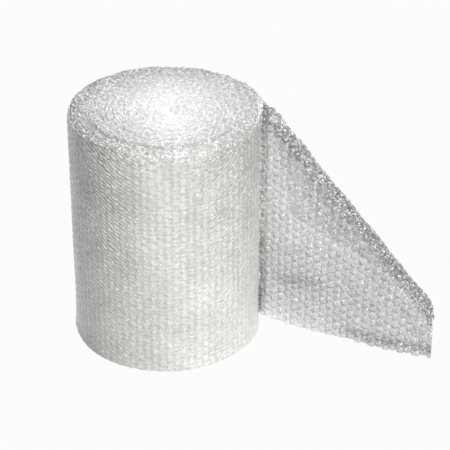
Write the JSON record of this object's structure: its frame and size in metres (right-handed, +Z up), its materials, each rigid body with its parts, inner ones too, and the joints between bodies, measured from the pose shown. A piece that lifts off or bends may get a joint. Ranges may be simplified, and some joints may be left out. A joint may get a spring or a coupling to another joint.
{
  "type": "bubble wrap roll",
  "caption": "Coreless roll of clear bubble wrap that stands on its end, with its outer end unrolled as a free tail whose upper corner has fallen over.",
  "frame": {"origin": "on the axis of the roll, where it meets the surface that the roll stands on", "axes": "+Z up along the axis of the roll; +X towards the side where the free tail leaves the roll; +Y towards the flat face of the tail"},
  "size_m": [0.4445, 0.2335, 0.3012],
  "materials": {
    "film": "clear polyethylene bubble film, milky where its layers lie on each other, glossy on every bubble"
  },
  "bodies": {
    "root": {"bubble_wrap": "film"}
  },
  "joints": []
}
